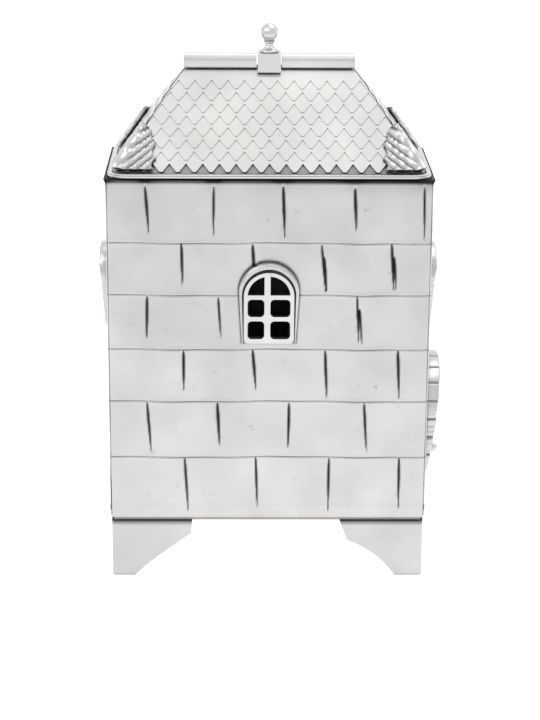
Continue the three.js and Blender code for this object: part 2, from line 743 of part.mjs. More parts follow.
function lidHingePin() {
  const { length, pin, radius } = LID_HINGE;
  const end = length / 2;
  const cap = (side) =>
    solid(lidBarrel(radius * 0.8, ...[side * (end + 0.2), side * (end + 1.0)].sort((a, b) => a - b)));
  return solid(lidBarrel(pin, -end - 0.5, end + 0.5, 16)).add(cap(-1)).add(cap(1));
}

// ---- Assembly ----
const box = new THREE.Group();

// Walls, windows and door.
const SIDES = [
  { side: "front", turn: 0, distance: DEPTH / 2, length: WIDTH },
  { side: "right", turn: Math.PI / 2, distance: WIDTH / 2, length: DEPTH },
  { side: "back", turn: Math.PI, distance: DEPTH / 2, length: WIDTH },
  { side: "left", turn: -Math.PI / 2, distance: WIDTH / 2, length: DEPTH },
];
for (const { side, turn, distance, length } of SIDES) {
  const [group, wall] = wallFrame(turn, distance, BODY_X);
  let sheet = panel(length);
  if (side !== "back") sheet = sheet.subtract(windowOpening());
  if (side === "right") sheet = sheet.subtract(doorway());
  const blocked = (...at) =>
    (side !== "back" && underWindow(...at)) || (side === "right" && underDoorHood(...at));
  const shift = side === "front" || side === "back" ? 0 : BRICKS.endShift;
  sheet = sheet.subtract(brickwork(length, shift, blocked));
  wall.add(piece(`wall_${side}`, sheet, POLISHED));
  if (side !== "back") {
    wall.add(piece(`window_hood_${side}`, windowHood(), CAST));
    wall.add(hangGrille(`window_grille_${side}`));
  }
  if (side === "right") {
    wall.add(piece("door_hood", doorHood(), CAST));
    wall.add(piece("door_leaf", doorLeaf(), POLISHED));
    const places = ["lower", "upper"];
    DOOR_HINGE.heights.forEach((middle, i) => {
      wall.add(piece(`door_hinge_jamb_leaf_${places[i]}`, doorHingeHalf(middle, 1), CAST));
      wall.add(piece(`door_hinge_door_leaf_${places[i]}`, doorHingeHalf(middle, -1), CAST));
      wall.add(piece(`door_hinge_pin_${places[i]}`, doorHingePin(middle), PLAIN));
    });
    wall.add(piece("door_knob", knob(), CAST));
    wall.add(piece("latch_tongue", latchTongue(), PLAIN));
  }
  box.add(group);
}

// Base plate and feet.
const shell = new THREE.Group();
shell.position.x = BODY_X;
box.add(shell);
const baseHalf = [WIDTH / 2 - BASE_INSET, DEPTH / 2 - BASE_INSET];
shell.add(
  piece(
    "base_plate",
    block([-baseHalf[0], -baseHalf[1], FOOT_HEIGHT], [baseHalf[0], baseHalf[1], WALL_FOOT_Z - GAP]),
    PLAIN,
  ),
);
const FEET = [
  ["front_left", -1, -1, "straight", "side"],
  ["front_right", 1, -1, "side", "curved"],
  ["back_right", 1, 1, "straight", "side"],
  ["back_left", -1, 1, "side", "curved"],
];
for (const [place, signX, signY, cutX, cutY] of FEET) {
  const bracket = piece(`foot_${place}`, foot(cutX, cutY), CAST);
  bracket.position.set(
    signX * (baseHalf[0] + BASE_INSET - FOOT.inset),
    signY * (baseHalf[1] + BASE_INSET - FOOT.inset),
    0,
  );
  bracket.rotation.z = Math.atan2(-signY, -signX) - Math.PI / 4;
  shell.add(bracket);
}

// The ledge that carries the lid.
const inside = [WIDTH / 2 - SHEET - GAP, DEPTH / 2 - SHEET - GAP];
const mouth = inside.map((v) => v - LEDGE.width);
shell.add(
  piece(
    "top_ledge",
    ring([...inside, 0.5], [...mouth, 2.5], WALL_TOP_Z + LEDGE.proud - LEDGE.height, LEDGE.height, 3),
    PLAIN,
  ),
);

// Lid.
const rimHalf = [WIDTH / 2 - RIM.inset, DEPTH / 2 - RIM.inset];
const bezelOuter = mouth.map((v) => v - BEZEL.play);
const bezelInner = bezelOuter.map((v) => v - BEZEL.thickness);
shell.add(
  piece("lid_rim", ring([...rimHalf, RIM.corner], [...bezelInner, 2], LID_Z, RIM.plate), ROOFING),
  piece(
    "lid_bezel",
    ring([...bezelOuter, 2], [...bezelInner, 1.4], LID_Z - GAP - BEZEL.drop, BEZEL.drop, 3),
    PLAIN,
  ),
  piece("ridge_tile_left", ridgeTile(-1), CAST),
  piece("ridge_tile_right", ridgeTile(1), CAST),
  piece("finial_plinth", finialPlinth(), CAST),
  piece("finial", finial(), CAST),
  piece("finial_nut", finialNut(), PLAIN),
);
for (const { side } of SIDES)
  shell.add(
    piece(`roof_${side}`, roofPanel(side), ROOFING),
    piece(`shingles_${side}`, shingles(side), CAST),
  );
for (const [place, signX, signY] of FEET)
  shell.add(piece(`corner_leaf_${place}`, cornerLeaf(signX, signY), CAST));

// The flat band round the rim, with a gap for the hinge.
const bandOuter = rimHalf.map((v) => v - RIM.step);
const bandInner = EAVE.map((v) => v + 1);
const bandFoot = LID_Z + RIM.plate + GAP;
const band = solid(
  ring([...bandOuter, RIM.corner - RIM.step], [...bandInner, 2.5], bandFoot, RIM.band),
);
const hingeGap = LID_HINGE.length / 2 + CLEARANCE;
shell.add(
  piece(
    "rim_band",
    band.subtract(
      solid(block([-hingeGap, 0, LID_Z], [hingeGap, DEPTH, bandFoot + 2 * RIM.band])),
    ),
    CAST,
  ),
  piece("lid_hinge_wall_leaf", lidHingeWallLeaf(), CAST),
  piece("lid_hinge_lid_leaf", lidHingeLidLeaf(), CAST),
  piece("lid_hinge_pin", lidHingePin(), PLAIN),
);

export default box;
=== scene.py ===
import bpy
import numpy as np
from mathutils import Matrix, Vector


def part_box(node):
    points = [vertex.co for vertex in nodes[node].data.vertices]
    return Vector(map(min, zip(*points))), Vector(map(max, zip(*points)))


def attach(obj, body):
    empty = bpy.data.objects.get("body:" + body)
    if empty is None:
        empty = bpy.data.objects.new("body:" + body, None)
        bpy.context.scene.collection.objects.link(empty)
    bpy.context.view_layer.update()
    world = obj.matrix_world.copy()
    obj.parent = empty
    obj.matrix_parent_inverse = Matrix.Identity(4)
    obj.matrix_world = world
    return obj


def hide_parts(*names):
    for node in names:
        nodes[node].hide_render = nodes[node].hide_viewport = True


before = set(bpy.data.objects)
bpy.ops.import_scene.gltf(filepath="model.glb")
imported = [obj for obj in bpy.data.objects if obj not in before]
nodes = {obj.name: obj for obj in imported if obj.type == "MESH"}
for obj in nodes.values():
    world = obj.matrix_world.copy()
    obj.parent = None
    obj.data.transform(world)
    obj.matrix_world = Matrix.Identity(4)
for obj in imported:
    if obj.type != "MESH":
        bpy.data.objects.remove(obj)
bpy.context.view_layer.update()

# ---- Walls ----
# Polished silver sheet, 1.2 mm thick, chased by hand into six courses of bricks: a fine line under
# each course and a tapered punch stroke between bricks, left dark when the rest was polished.

# All the box's silver shares one group for colour, roughness and fine height. Each material adds its
# own tone and the recess value that darkens it: oxide that stays wherever polish can't reach, and
# painted shade in enclosed places, under the lid and inside the box.
worked = bpy.data.node_groups.new("worked silver", "ShaderNodeTree")
for label, kind, start in (
    ("Tone", "NodeSocketFloat", 0.7),
    ("Recess", "NodeSocketFloat", 0.0),
    ("Polish", "NodeSocketFloat", 0.2),
):
    worked.interface.new_socket(label, in_out="INPUT", socket_type=kind).default_value = start
for label, kind in (
    ("Colour", "NodeSocketColor"),
    ("Roughness", "NodeSocketFloat"),
    ("Height", "NodeSocketFloat"),
):
    worked.interface.new_socket(label, in_out="OUTPUT", socket_type=kind)


def add_node(tree, kind, **values):
    """A shader node with its properties (lower case names) and input sockets (given as s_NAME) set."""
    node = tree.nodes.new(kind)
    for key, value in values.items():
        if key.startswith("s_"):
            label = key[2:].replace("_", " ")
            socket = node.inputs[int(label) if label.isdigit() else label]
            if isinstance(value, bpy.types.NodeSocket):
                tree.links.new(value, socket)
            else:
                socket.default_value = value
        else:
            setattr(node, key, value)
    return node


# Scales are in noise cells a metre: slow clouds of tarnish, a fine cast grain, and hairlines that a
# polishing mop leaves level. Specks of oxide appear where a middle noise is high.
OXIDE = (0.022, 0.02, 0.019, 1)
WARMTH = (1.0, 0.985, 0.965)
ins = add_node(worked, "NodeGroupInput").outputs
outs = add_node(worked, "NodeGroupOutput").inputs
place = add_node(worked, "ShaderNodeTexCoord").outputs["Object"]
cloud = add_node(worked, "ShaderNodeTexNoise", s_Vector=place, s_Scale=55.0, s_Detail=3.0).outputs["Fac"]
grain = add_node(worked, "ShaderNodeTexNoise", s_Vector=place, s_Scale=1400.0, s_Detail=2.0).outputs["Fac"]
level = add_node(worked, "ShaderNodeMapping", s_Vector=place, s_Scale=(90.0, 90.0, 2600.0))
hair = add_node(
    worked, "ShaderNodeTexNoise", s_Vector=level.outputs["Vector"], s_Scale=1.0, s_Detail=2.0
).outputs["Fac"]
spots = add_node(worked, "ShaderNodeTexNoise", s_Vector=place, s_Scale=420.0, s_Detail=4.0).outputs["Fac"]
speck = add_node(
    worked, "ShaderNodeMapRange", s_Value=spots, s_1=0.68, s_2=0.8, s_3=0.0, s_4=0.25
).outputs["Result"]
# The recess value, oxide and painted shade together, joins the oxide specks here.
tarnish_and_shade = add_node(
    worked, "ShaderNodeMath", operation="ADD", use_clamp=True, s_0=ins["Recess"], s_1=speck
).outputs[0]
clouding = add_node(
    worked, "ShaderNodeMapRange", s_Value=cloud, s_1=0.3, s_2=0.7, s_3=0.9, s_4=1.05
).outputs["Result"]
shade = add_node(
    worked, "ShaderNodeMath", operation="MULTIPLY", s_0=ins["Tone"], s_1=clouding
).outputs[0]
clean = add_node(worked, "ShaderNodeCombineColor").outputs[0]
for channel, tint in enumerate(WARMTH):
    part = add_node(worked, "ShaderNodeMath", operation="MULTIPLY", s_0=shade, s_1=tint).outputs[0]
    worked.links.new(part, clean.node.inputs[channel])
colour = add_node(worked, "ShaderNodeMix", data_type="RGBA", s_0=tarnish_and_shade, s_6=clean, s_7=OXIDE).outputs[2]
worked.links.new(colour, outs["Colour"])
brushed = add_node(
    worked, "ShaderNodeMath", operation="MULTIPLY_ADD", s_0=hair, s_1=0.1, s_2=ins["Polish"]
).outputs[0]
dulled = add_node(
    worked, "ShaderNodeMath", operation="MULTIPLY_ADD", use_clamp=True, s_0=tarnish_and_shade, s_1=0.4, s_2=brushed
).outputs[0]
worked.links.new(dulled, outs["Roughness"])
relief = add_node(
    worked, "ShaderNodeMath", operation="MULTIPLY_ADD", s_0=grain, s_1=0.6, s_2=cloud
).outputs[0]
worked.links.new(relief, outs["Height"])


def silver(name, tone, polish, relief, recess=None, reach=None):
    """A silver material. recess names the mesh attribute that holds the oxide and painted shade;
    without one, the darkening follows how enclosed the surface is within the distance reach, in
    metres, by ambient occlusion: oxide in hollows and painted shade between parts."""
    mat = bpy.data.materials.new(name)
    mat.use_nodes = True
    tree = mat.node_tree
    shader = tree.nodes["Principled BSDF"]
    shader.inputs["Metallic"].default_value = 1.0
    if recess:
        dark = add_node(tree, "ShaderNodeAttribute", attribute_name=recess).outputs["Fac"]
    else:
        # Oxide and painted shade: ambient occlusion darkens hollows and gaps between parts alike.
        closed = add_node(tree, "ShaderNodeAmbientOcclusion", s_Distance=reach, samples=8).outputs["AO"]
        dark = add_node(
            tree, "ShaderNodeMapRange", s_Value=closed, s_1=0.62, s_2=0.2, s_3=0.0, s_4=0.92
        ).outputs["Result"]
    group = add_node(tree, "ShaderNodeGroup", node_tree=worked, s_Tone=tone, s_Polish=polish, s_Recess=dark)
    bump = add_node(
        tree, "ShaderNodeBump", s_Strength=0.5, s_Distance=relief, s_Height=group.outputs["Height"]
    )
    tree.links.new(group.outputs["Colour"], shader.inputs["Base Color"])
    tree.links.new(group.outputs["Roughness"], shader.inputs["Roughness"])
    tree.links.new(bump.outputs["Normal"], shader.inputs["Normal"])
    return mat


chased = silver("chased sheet silver", 0.55, 0.16, 0.00002, recess="oxide_and_shade")


def mesh_object(name, co, quads, material, oxide_and_shade):
    """A smooth quad mesh in metres, sharp where it turns by over 38 degrees, with its oxide and painted shade
    values.
    """
    used, quads = np.unique(quads, return_inverse=True)
    quads = quads.reshape(-1, 4)
    mesh = bpy.data.meshes.new(name)
    mesh.vertices.add(len(used))
    mesh.vertices.foreach_set("co", np.ascontiguousarray(co[used], np.float32).ravel())
    mesh.loops.add(quads.size)
    mesh.loops.foreach_set("vertex_index", quads.astype(np.int32).ravel())
    mesh.polygons.add(len(quads))
    mesh.polygons.foreach_set("loop_start", np.arange(0, quads.size, 4, dtype=np.int32))
    mesh.update(calc_edges=True)
    mesh.validate()
    mesh.polygons.foreach_set("use_smooth", np.ones(len(mesh.polygons), bool))
    mesh.set_sharp_from_angle(angle=np.radians(38))
    layer = mesh.attributes.new("oxide_and_shade", "FLOAT", "POINT")
    layer.data.foreach_set("value", np.clip(oxide_and_shade[used], 0, 1).astype(np.float32))
    mesh.materials.append(material)
    obj = bpy.data.objects.new(name, mesh)
    bpy.context.scene.collection.objects.link(obj)
    return obj


def sheet_quads(keep):
    """The faces of a closed sheet whose front points are a grid and whose back points, in the same
    order, follow them. keep says which cells have metal. Each open edge gets a side wall."""
    rows, columns = keep.shape[0] + 1, keep.shape[1] + 1
    n = rows * columns
    index = np.arange(n).reshape(rows, columns)
    q = np.stack([index[:-1, :-1], index[:-1, 1:], index[1:, 1:], index[1:, :-1]], -1)[keep]
    a, b = q.ravel(), np.roll(q, -1, axis=1).ravel()
    rim = ~np.isin(a * n + b, b * n + a)
    a, b = a[rim], b[rim]
    return np.concatenate([q, q[:, ::-1] + n, np.stack([b, a, a + n, b + n], -1)])


# Each wall has its own frame: x to the right as seen from outside, y up from its lower edge,
# z out of its face, all in millimetres.
RIGHT_OF = {"front": (1, 0, 0), "right": (0, 1, 0), "back": (-1, 0, 0), "left": (0, -1, 0)}


def on_wall(side, x, y, z):
    """Points of a wall's own frame, in the box's frame in metres."""
    low, high = (np.array(c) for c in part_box("wall_" + side))
    across = np.array(RIGHT_OF[side], float)
    out = np.cross(across, (0, 0, 1))
    middle = (low + high) / 2
    face = middle + out * np.abs(out @ (high - low)) / 2
    face[2] = low[2]
    p = np.stack(np.broadcast_arrays(x, y, z), -1) / 1000
    return face + p[..., :1] * across + p[..., 1:2] * (0, 0, 1) + p[..., 2:] * out


# The wall's sizes, in millimetres from its lower edge. Bricks are broken over one another, so two
# starting places alternate, and each course down is a little longer than the one above.
WALL_HEIGHT = 109.5
SHEET = 1.2
GRID_STEP = 0.36
COURSES = np.array([20.5, 39, 56, 73.5, 90])
TOP_COURSE = COURSES[-1] + 10
BRICK_LENGTH, LET_OUT = 21.2, 0.33
BRICK_STARTS = (-38, -26.8)
END_WALL_SHIFT = 4.5
CORNER_REACH = 1.5
# An opening is its half width, sill and spring. A place kept flat for a hood adds its taper.
WINDOW_OPENING, WINDOW_SEAT = (6.4, 60, 73.6), (9.4, 58.3, 74.95, 1.0)
DOORWAY, DOOR_SEAT = (8.8, 2.4, 31.0), (16.6, 12.3, 31.0, 0)


def arch_distance(x, y, half, bottom, spring):
    """Distance outside a round-headed outline: to the half circle above its spring, else to the
    nearer of its side and its sill; negative inside."""
    head = np.hypot(x, y - spring) - half
    body = np.maximum(np.abs(x) - half, bottom - y)
    return np.where(y > spring, head, body)


def wall(side, seed):
    """One chased sheet. Rows of points crowd round each course line. The face's height is a groove
    with soft shoulders at each line, a V along each stroke, a rolled lower edge, chamfered ends and
    a slow hammered waviness. The openings are cut by their distance functions, and points near a
    cut are moved on to it. The back is the same sheet, its thickness in, drawn in by the mitre."""
    rng = np.random.default_rng(seed)
    low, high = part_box("wall_" + side)
    half = (high - low)[0 if side in ("front", "back") else 1] * 500
    near = np.array([-1.5, -0.9, -0.5, -0.28, -0.12, 0, 0.12, 0.28, 0.5, 0.9, 1.5])
    stops = np.concatenate([[0], COURSES, [WALL_HEIGHT]])
    ys = [np.linspace(0, 2, 7)]
    for a, b in zip(stops[:-1], stops[1:]):
        ys.append(np.linspace(a + 2, b - 2, 20))
        ys.append(b + near[near <= 0] if b == WALL_HEIGHT else b + near)
    y = np.unique(np.concatenate(ys))
    x = np.linspace(-half, half, int(2 * half / GRID_STEP))
    X, Y = np.meshgrid(x, y)
    # Each stroke is its place, head, foot, lean and half width. Some right of the front window were
    # struck twice, the second just beside the first.
    shift = 0 if side in ("front", "back") else END_WALL_SHIFT
    strokes = []
    for row in range(len(COURSES) + 1):
        down = len(COURSES) - row
        length = BRICK_LENGTH + LET_OUT * down
        first = BRICK_STARTS[down % 2] + shift
        for at in np.arange(first - length, half - CORNER_REACH, length):
            at = at + rng.uniform(-0.6, 0.6)
            top = stops[row + 1] - (1.5 if down == 0 else 0) - rng.uniform(0, 0.7)
            end = stops[row] + rng.uniform(0.5, 4.5)
            if at < CORNER_REACH - half:
                continue
            strokes.append((at, top, end, rng.uniform(-0.3, 1.3), rng.uniform(0.35, 0.55)))
            if side == "front" and at > 10 and down in (1, 2):
                strokes.append((at + 0.9, top - 4, end, 0.8, 0.4))
    holes, seats = [], []
    if side != "back":
        holes.append(WINDOW_OPENING)
        seats.append(WINDOW_SEAT)
    if side == "right":
        holes.append(DOORWAY)
        seats.append(DOOR_SEAT)
    wander = 0.16 * np.sin(X / 9 + seed) + 0.08 * np.sin(X / 3.1 + 2 * seed)
    gap = np.min([np.abs(Y - c - wander * (1 if side == "front" else 1.3)) for c in COURSES], axis=0)
    heads = []
    height = -0.16 * np.exp(-((gap / 0.16) ** 2)) + 0.06 * np.exp(-(((gap - 0.45) / 0.25) ** 2))
    oxide_and_shade = 0.8 * np.exp(-((gap / 0.13) ** 2)) * (0.7 + 0.3 * np.sin(X / 4.3 + 7 * seed))
    for at, top, end, lean, wide in strokes:
        t = np.clip((top - Y) / (top - end), 0, 1)
        centre = at + lean * t
        width = wide * np.sin(np.pi * np.clip(t, 1e-6, 1) ** 0.6).clip(0) ** 0.6 + 0.03
        over = np.maximum(Y - top, end - Y).clip(0)
        d = np.hypot(X - centre, over) / width
        height -= 0.45 * (width / 0.45) * np.clip(1 - d, 0, 1) + 0.1 * np.exp(-((d - 1.5) ** 2) * 1.4)
        oxide_and_shade += 1.1 * np.clip(1.25 - d, 0, 1) ** 0.6
        if top > TOP_COURSE:
            heads.append(np.exp(-((X - at) ** 2 + (Y - top - 0.35) ** 2) / 0.3))
    out = half - np.abs(X)
    edge = 0.45 * np.exp(-out / 0.35)
    height += 0.035 * np.sin(X / 5.3 + 1.3 * seed) * np.sin(Y / 6.1 + seed) + 0.02 * np.sin(X / 2.3 + Y / 3.7)
    rolled_foot = 0.25 * np.exp(-(((Y - 3.4) / 0.9) ** 2)) - 0.35 * np.clip(1 - Y / 1.1, 0, 1) ** 2
    height += rolled_foot + 0.5 * np.clip(1 - (WALL_HEIGHT - Y) / 1.4, 0, 1) ** 2
    # Painted shade: the top course's bricks are darkened towards the rim, most at their upper corners, where
    # rounded brick tops would be shaded.
    rim_corner_shade = np.clip(1 - (WALL_HEIGHT - Y) / 4.5, 0, 1) ** 2
    top_ends = [np.abs(X - at) for at, top, _, _, _ in strokes if top > TOP_COURSE] + [out]
    oxide_and_shade += 0.45 * rim_corner_shade * np.exp(-np.min(top_ends, axis=0) / 1.6)
    # Painted shadow and oxide: the top 1.3 mm, under the lid, is darkened, and each end keeps a thin dark
    # seam.
    oxide_and_shade += 0.8 * np.clip((Y - WALL_HEIGHT + 1.3) / 0.8, 0, 1) + 0.2 * np.exp(-out / 0.12)
    # Painted reflection: a grey band under the rim, darker towards the right.
    oxide_and_shade += 0.16 * (0.6 + 0.6 * X / half) * np.exp(-(((WALL_HEIGHT - Y) / 3.5) ** 2))
    # The punch was set down hard at the head of each stroke under the rim and burnished a dimple.
    dimple = np.sum(heads, axis=0)
    height -= 0.15 * dimple
    oxide_and_shade *= 1 - 0.9 * np.clip(dimple, 0, 1)
    height -= edge
    X = X - np.sign(X) * edge
    keep = np.ones((len(y) - 1, len(x) - 1), bool)
    fine = 0.02
    for hole in holes:
        d = arch_distance(X, Y, *hole)
        gx = (arch_distance(X + fine, Y, *hole) - d) / fine
        gy = (arch_distance(X, Y + fine, *hole) - d) / fine
        close = np.abs(d) < 0.3
        X, Y = np.where(close, X - d * gx, X), np.where(close, Y - d * gy, Y)
        inside = (arch_distance(X, Y, *hole) < fine).astype(int)
        keep &= (inside[:-1, :-1] + inside[1:, :-1] + inside[:-1, 1:] + inside[1:, 1:]) < 4
    for head_half, foot, spring, taper in seats:
        narrowing = taper * (1 - np.clip((Y - foot) / (spring - foot), 0, 1))
        d = arch_distance(np.abs(X) + narrowing, Y, head_half, foot, spring)
        # Oxide and painted shade: the wall is darkened just outside each hood, where the hood meets it.
        oxide_and_shade += 0.8 * np.exp(-(d.clip(0) / 0.35) ** 2)
        height = np.where(d < 0, np.minimum(height, 0) * 0.2, height)
    front = on_wall(side, X, Y, height).reshape(-1, 3)
    back = on_wall(side, X * (half - SHEET) / half, Y, -SHEET).reshape(-1, 3)
    # Painted shade: the back of the sheet, inside the box, is darkened, and fully near its top under the lid.
    inner = np.where(Y > WALL_HEIGHT - 3, 1.0, 0.75)
    tone = np.concatenate([oxide_and_shade.ravel(), inner.ravel()])
    obj = mesh_object("chased_wall_" + side, np.concatenate([front, back]), sheet_quads(keep), chased, tone)
    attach(obj, "box")
    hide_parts("wall_" + side)


for number, side in enumerate(("front", "right", "back", "left")):
    wall(side, number + 1)


# ---- Window and door hoods ----
# Cast silver arches soldered to the walls, brighter than the sheet and worn in places. Each stands
# out further towards its crown. The door's hood is cut into stones, with dark joints between.
worn_cast = silver("worn cast silver", 0.6, 0.18, 0.00004, recess="oxide_and_shade")
# A hood's size is its outer and inner half widths at the foot and at the spring, its foot's height,
# the heights of the outer and inner springs, and how far it stands out at the foot and the crown.
WINDOW_HOOD = ((8.4, 7.9), 9.4, 8.05, 58.35, (74.95, 73.95), (0.6, 3.25))
DOOR_HOOD = ((16.6, 14.8), 16.6, 14.8, 12.3, (31.0, 31.0), (0.6, 5.35))
DOOR_STONES = 15


def hood(side, node, foot, outer, inner, bottom, springs, reach, stones, seed):
    """An arched band swept along the arch. The path runs up the left side, over the head and down;
    at each step the section is a soft-cornered box (a superellipse) between the inner and outer
    outlines and from the wall out to the reach at that height. A window's reach grows evenly to four
    fifths of the height and a stone hood's by a power; both ease back at the crown. Slow sines make
    it look filed."""
    steps, ring = 260, 28
    leg = springs[0] - bottom
    length = 2 * leg + np.pi * outer
    s = np.linspace(0, length, steps)
    turn = np.clip((s - leg) / outer, 0, np.pi)
    down = np.clip(s - leg - np.pi * outer, 0, None)
    up = np.clip(s, 0, leg) - down

    def outline(half, spring, foot_half):
        climb = np.clip(up / leg, 0, 1)
        flat = foot_half + (half - foot_half) * climb
        px = np.where(up < leg, flat * np.where(s < length / 2, -1, 1), -half * np.cos(turn))
        py = np.where(up < leg, bottom + (spring - bottom) * climb, spring + half * np.sin(turn))
        return px, py

    ox, oy = outline(outer, springs[0], foot[0])
    ix, iy = outline(inner, springs[1], foot[1])
    crown = springs[0] + outer
    rise = (oy - bottom) / (crown - bottom)
    growth = rise.clip(0) ** 0.6 if stones else np.minimum(rise / 0.8, 1)
    depth = reach[0] + (reach[1] - reach[0]) * (growth - 5 * np.clip(rise - 0.9, 0, 1) ** 2)
    phi = np.linspace(0, 2 * np.pi, ring, endpoint=False)
    cu = 0.5 + 0.5 * np.sign(np.cos(phi)) * np.abs(np.cos(phi)) ** 0.62
    cz = 0.5 + 0.5 * np.sign(np.sin(phi)) * np.abs(np.sin(phi)) ** 0.62
    joint = np.zeros(steps)
    if stones:
        at = np.linspace(0, length, stones + 1)[1:-1]
        joint = np.exp(-((np.abs(s[:, None] - at).min(1) / 0.32) ** 2))
    lump = 0.07 * np.sin(s * 0.7 + seed) + 0.03 * np.sin(s * 1.9 + 2 * seed)
    shrink = (0.05 + 0.12 * joint)[:, None]
    u = shrink + (1 - 2 * shrink) * cu
    z = 0.12 + (depth + lump - 0.25 * joint - 0.12)[:, None] * cz
    px = ix[:, None] + (ox - ix)[:, None] * u
    py = iy[:, None] + (oy - iy)[:, None] * u
    co = on_wall(side, px, py, z).reshape(-1, 3)
    index = np.arange(steps * ring).reshape(steps, ring)
    around = np.roll(index, -1, axis=1)
    q = np.stack([index[:-1], index[1:], around[1:], around[:-1]], -1).reshape(-1, 4)
    half_ring = ring // 2
    caps = []
    for row, order in ((index[0], 1), (index[-1], -1)):
        k = np.arange(half_ring - 1)
        cap = np.stack([row[k], row[k + 1], row[ring - 2 - k], row[ring - 1 - k]], -1)
        caps.append(cap[:, ::order])
    q = np.concatenate([q, *caps])
    # Oxide and painted shade: the band darkens where it meets the wall, and towards its inner edge by the
    # opening.
    seam_oxide_and_shade = np.exp(-z / 0.35)
    rough_side = np.exp(-(((s - 14) / 7) ** 2))[:, None]
    pits = np.sin(px * 9.1 + py * 5.3) * np.sin(px * 4.7 - py * 8.3)
    wear = 0.5 * rough_side * np.clip(pits, 0, 1) + 0.06 * np.sin(s * 2.3 + seed)[:, None] * np.sin(3 * phi)
    oxide_and_shade = 0.85 * joint[:, None] + 0.9 * seam_oxide_and_shade + 0.5 * (1 - cu)[None] ** 3 * 0.6 + np.abs(wear)
    obj = mesh_object(node + "_casting", co, q, worn_cast, oxide_and_shade.ravel())
    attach(obj, "box")
    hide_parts(node)


for number, side in enumerate(("front", "right", "left")):
    hood(side, "window_hood_" + side, *WINDOW_HOOD, stones=0, seed=number)
hood("right", "door_hood", *DOOR_HOOD, stones=DOOR_STONES, seed=9)


# ---- Corner leaves ----
# A cast acanthus leaf folded over the foot of each hip and pinned there: a rib along the hip, veins
# running out to a lobed edge, and black left in the hollows between them. Sizes are in metres.
LEAF_HEIGHT = 0.0118
LEAF_HALF_WIDTH = 0.0118


def corner_leaf(corner, sign_x, sign_y, seed):
    """A closed sheet draped over two slopes. v runs up the hip and u across it, level with the
    eave: the negative half lies on the end slope and the positive half on the long slope. The width
    shrinks to a point with a lobed edge; the relief adds the rib and the slanting veins."""
    low, high = (np.array(c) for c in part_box("roof_front"))
    end_low, end_high = (np.array(c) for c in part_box("roof_left"))
    eave_x, eave_y, base = (high[0] - low[0]) / 2, (end_high[1] - end_low[1]) / 2, low[2]
    slope = np.arctan2(high[2] - base, eave_y)
    middle = (low + high) / 2
    u, v = np.meshgrid(np.linspace(-1, 1, 97), np.linspace(0, 1, 61))
    lobes = 1 - 0.16 * np.abs(np.sin(v * np.pi * 3.2 + 0.4)) ** 0.7
    wide = LEAF_HALF_WIDTH * (1 - v) ** 0.72 * lobes + 0.0004
    climb = 0.0006 + LEAF_HEIGHT * v
    along = np.abs(u) * wide
    back = climb / np.tan(slope)
    long_side = np.clip(u, 0, 1) * wide
    end_side = np.clip(-u, 0, 1) * wide
    co = np.stack(
        [sign_x * (eave_x - back - long_side), sign_y * (eave_y - back - end_side), base + climb], -1
    )
    co[..., 0] += middle[0]
    blend = 0.5 + 0.5 * np.tanh(u * wide / 0.0012)
    lie = np.sin(slope)
    normal = np.stack(
        [sign_x * (1 - blend) * lie, sign_y * blend * lie, np.full_like(u, np.cos(slope))], -1
    )
    normal /= np.linalg.norm(normal, axis=-1, keepdims=True)
    vein = np.sin((along * 1.25 - climb * 0.9) / 0.00062 + seed) * np.clip(np.abs(u) * 5, 0, 1)
    rim = np.clip((1 - np.abs(u)) * 6, 0, 1) ** 0.5
    relief = 0.00022 * vein * rim + 0.0005 * np.exp(-((along / 0.0009) ** 2)) + 0.00045 * rim
    relief += 0.00012 * np.sin(u * 23 + v * 17 + seed)
    top = co + normal * (0.0017 + relief)[..., None]
    under = co + normal * 0.00125
    points = np.concatenate([top.reshape(-1, 3), under.reshape(-1, 3)])
    # The veins' hollows keep oxide. Painted shade: the leaf darkens towards its edges and its underside is
    # fully dark.
    oxide_and_shade = 0.75 * np.clip(-vein, 0, 1) ** 1.5 * rim + 0.5 * (1 - rim) ** 2
    quads = sheet_quads(np.ones((u.shape[0] - 1, u.shape[1] - 1), bool))
    if sign_x * sign_y > 0:
        quads = quads[:, ::-1]
    oxide_and_shade = np.concatenate([oxide_and_shade.ravel(), np.ones(u.size)])
    obj = mesh_object("leaf_" + corner, points, quads, worn_cast, oxide_and_shade)
    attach(obj, "lid")
    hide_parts("corner_leaf_" + corner)


for number, (y_name, sign_y, x_name, sign_x) in enumerate(
    (*y, *x) for y in (("front", -1), ("back", 1)) for x in (("left", -1), ("right", 1))
):
    corner_leaf(y_name + "_" + x_name, sign_x, sign_y, number)


# ---- The other pieces ----
# Grilles, feet, roof, shingles, door, hinges, knob and finial keep their made shapes, with most
# edges eased as a polishing mop leaves them. They differ in how bright and how worn the silver is.
grille_cast = silver("hand-cut cast silver", 0.64, 0.3, 0.00014, reach=0.0013)
cast = silver("cast silver", 0.62, 0.2, 0.00006, reach=0.0012)
foot_cast = silver("foot silver", 0.52, 0.24, 0.00006, reach=0.003)
satin = silver("satin silver", 0.66, 0.26, 0.00003, reach=0.0015)
plain = silver("plain silver", 0.32, 0.3, 0.00003, reach=0.002)
# Painted shade and oxide: the ledge at the walls' top, under the lid, is made nearly black.
black_oxide_and_shade = silver("blackened silver", 0.06, 0.45, 0.00003, reach=0.003)

